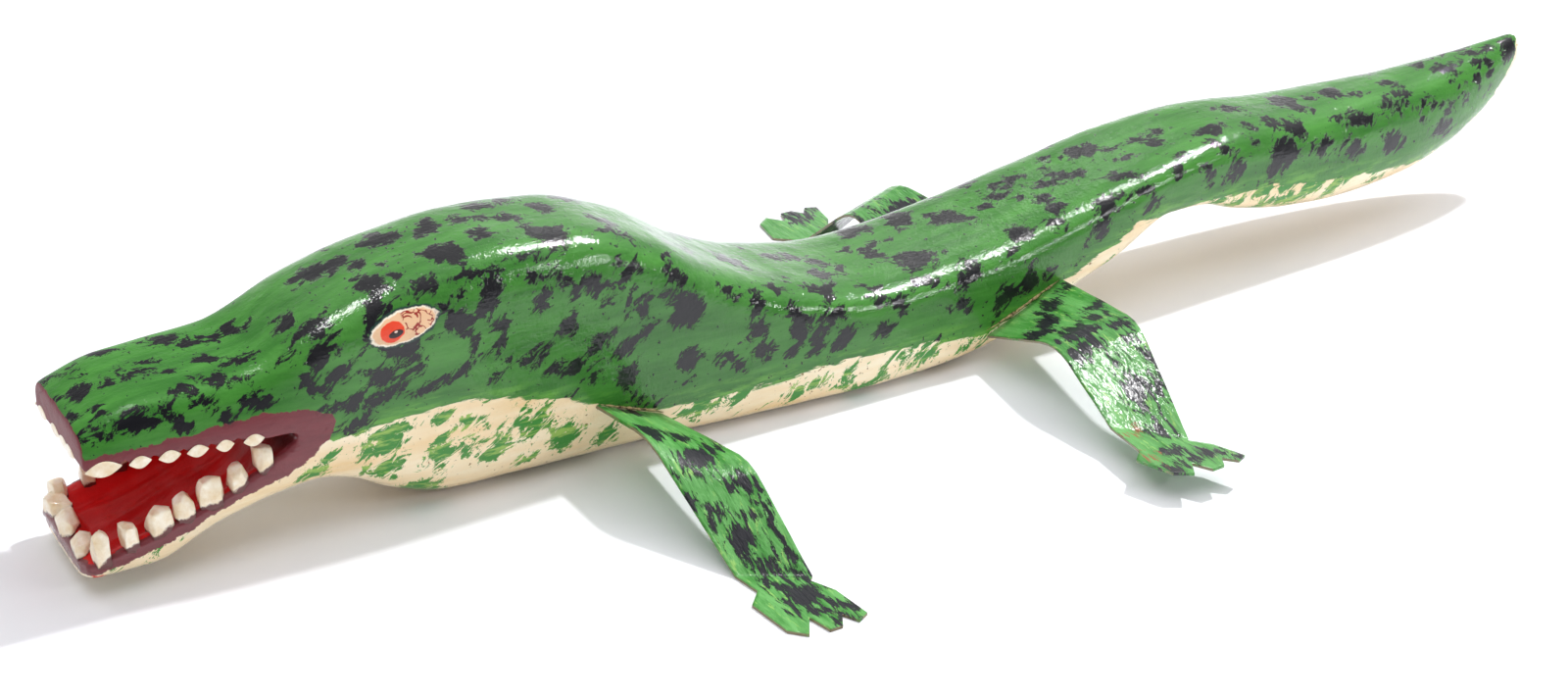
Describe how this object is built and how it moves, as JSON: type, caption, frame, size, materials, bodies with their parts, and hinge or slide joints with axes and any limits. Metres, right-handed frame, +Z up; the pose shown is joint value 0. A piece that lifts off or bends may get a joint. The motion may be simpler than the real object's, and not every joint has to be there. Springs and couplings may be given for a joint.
{
  "type": "wooden alligator carving",
  "caption": "Long wooden alligator with an open toothed mouth, a tapering tail and thin bent legs that reach out sideways to flat feet",
  "frame": {"origin": "centre of the bounding box in plan, on the floor", "axes": "+Y from the snout to the tail, +Z up, +X out of the animal's left side"},
  "size_m": [0.376, 0.744, 0.1069],
  "materials": {
    "painted_wood": "gloss varnish over paint",
    "painted_sheet_metal": "semi-gloss paint"
  },
  "bodies": {
    "root": {"body": "painted_wood", "leg_front_left": "painted_sheet_metal", "leg_front_right": "painted_sheet_metal", "leg_rear_left": "painted_sheet_metal", "leg_rear_right": "painted_sheet_metal"}
  },
  "joints": []
}
